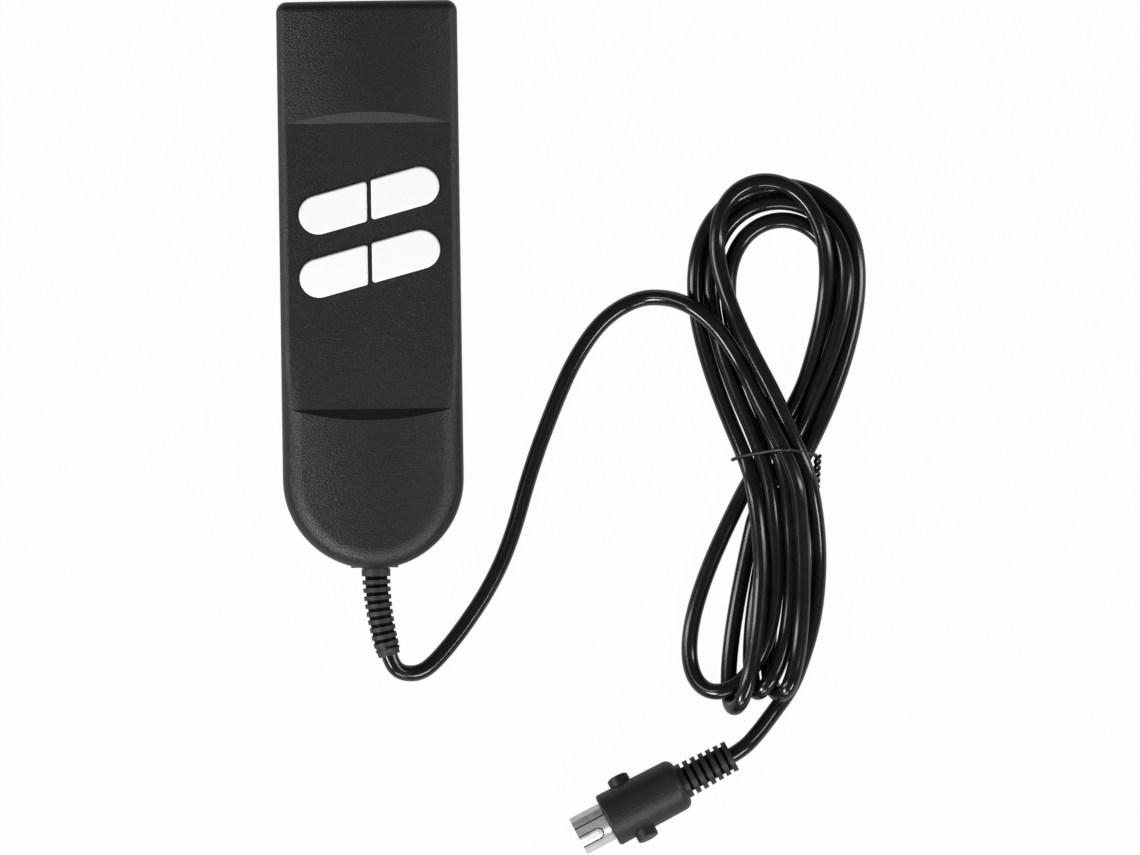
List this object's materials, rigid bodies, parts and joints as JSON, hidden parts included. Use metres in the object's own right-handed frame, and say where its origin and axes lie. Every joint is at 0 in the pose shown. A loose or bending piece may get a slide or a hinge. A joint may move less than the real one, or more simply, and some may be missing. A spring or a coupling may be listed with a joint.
{
  "type": "pendant control station",
  "caption": "Hand-held push-key pendant control with a ribbed strain relief, a tied flexible cord and a round pin plug.",
  "frame": {"origin": "centre of the housing's footprint, on the flat back that it lies on", "axes": "+Z out of the key face; +Y along the housing, towards its plain end and away from the cord; +X to the right of the keys"},
  "size_m": [0.1937, 0.2846, 0.025],
  "materials": {
    "housing": "black moulded plastic with a fine spark grain",
    "key": "white satin keycap",
    "switch_body": "black switch moulding",
    "plunger": "dark grey switch plunger",
    "dome": "sprung stainless disc",
    "switch_steel": "tinned steel",
    "board": "green solder mask",
    "screw": "zinc plated steel",
    "connector": "natural nylon",
    "conductor": "coloured insulation",
    "nylon": "natural nylon",
    "jacket": "glossy black flexible jacket",
    "relief": "black flexible moulding",
    "twist_tie": "black plastic covered wire",
    "plug_grip": "black flexible moulding, fine matte",
    "plug_plating": "nickel plated steel",
    "plug_insert": "black moulding",
    "plug_pin": "plated brass pin"
  },
  "bodies": {
    "housing": {"board_header": "connector", "board_screws": "screw", "cable_tie": "nylon", "circuit_board": "board", "conductors": "conductor", "contact_dome_lower_left": "dome", "contact_dome_lower_right": "dome", "contact_dome_upper_left": "dome", "contact_dome_upper_right": "dome", "cord_end": "jacket", "cord_hank": "jacket", "cord_lead": "jacket", "cord_tail": "jacket", "front_shell": "housing", "housing_screws": "screw", "lead_connector": "connector", "plug_body": "plug_grip", "plug_conductors": "conductor", "plug_cord_end": "jacket", "plug_insert": "plug_insert", "plug_pins": "plug_pin", "plug_shell": "plug_plating", "rear_shell": "housing", "strain_relief": "relief", "switch_body_lower_left": "switch_body", "switch_body_lower_right": "switch_body", "switch_body_upper_left": "switch_body", "switch_body_upper_right": "switch_body", "switch_covers": "switch_steel", "switch_legs": "switch_steel", "twist_tie": "twist_tie"},
    "upper_left_key": {"key_upper_left": "key", "switch_plunger_upper_left": "plunger"},
    "upper_right_key": {"key_upper_right": "key", "switch_plunger_upper_right": "plunger"},
    "lower_left_key": {"key_lower_left": "key", "switch_plunger_lower_left": "plunger"},
    "lower_right_key": {"key_lower_right": "key", "switch_plunger_lower_right": "plunger"}
  },
  "joints": [
    {"name": "press_upper_left", "type": "slide", "parent": "housing", "child": "upper_left_key", "axis": [0, 0, -1], "range_m": [0, 0.0006], "stiffness_N_per_m": 2000, "springref_m": -0.0004, "deforming": ["contact_dome_upper_left"]},
    {"name": "press_upper_right", "type": "slide", "parent": "housing", "child": "upper_right_key", "axis": [0, 0, -1], "range_m": [0, 0.0006], "stiffness_N_per_m": 2000, "springref_m": -0.0004, "deforming": ["contact_dome_upper_right"]},
    {"name": "press_lower_left", "type": "slide", "parent": "housing", "child": "lower_left_key", "axis": [0, 0, -1], "range_m": [0, 0.0006], "stiffness_N_per_m": 2000, "springref_m": -0.0004, "deforming": ["contact_dome_lower_left"]},
    {"name": "press_lower_right", "type": "slide", "parent": "housing", "child": "lower_right_key", "axis": [0, 0, -1], "range_m": [0, 0.0006], "stiffness_N_per_m": 2000, "springref_m": -0.0004, "deforming": ["contact_dome_lower_right"]}
  ]
}
